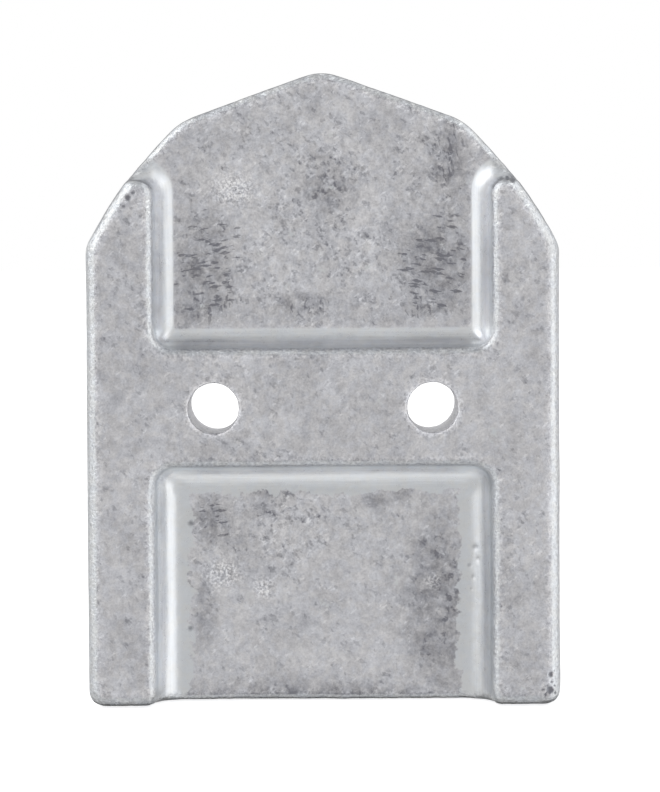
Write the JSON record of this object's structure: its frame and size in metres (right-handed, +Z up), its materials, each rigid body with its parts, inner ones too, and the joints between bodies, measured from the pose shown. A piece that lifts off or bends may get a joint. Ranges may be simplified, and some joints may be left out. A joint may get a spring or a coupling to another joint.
{
  "type": "cast bracket plate",
  "caption": "Arch-topped cast metal plate with a flat back, a raised H-shaped rib on its front, two shallow pockets and plain bolt holes through the crossbar.",
  "frame": {"origin": "midway between the two bolt holes, on the flat back face", "axes": "+Z up towards the pointed arch, +X to the right as seen from the ribbed front, -Y out of the ribbed front, so +Y points out of the flat back"},
  "size_m": [0.0704, 0.015, 0.0943],
  "materials": {
    "cast_metal": "as-cast, mottled"
  },
  "bodies": {
    "root": {"cast_plate": "cast_metal"}
  },
  "joints": []
}
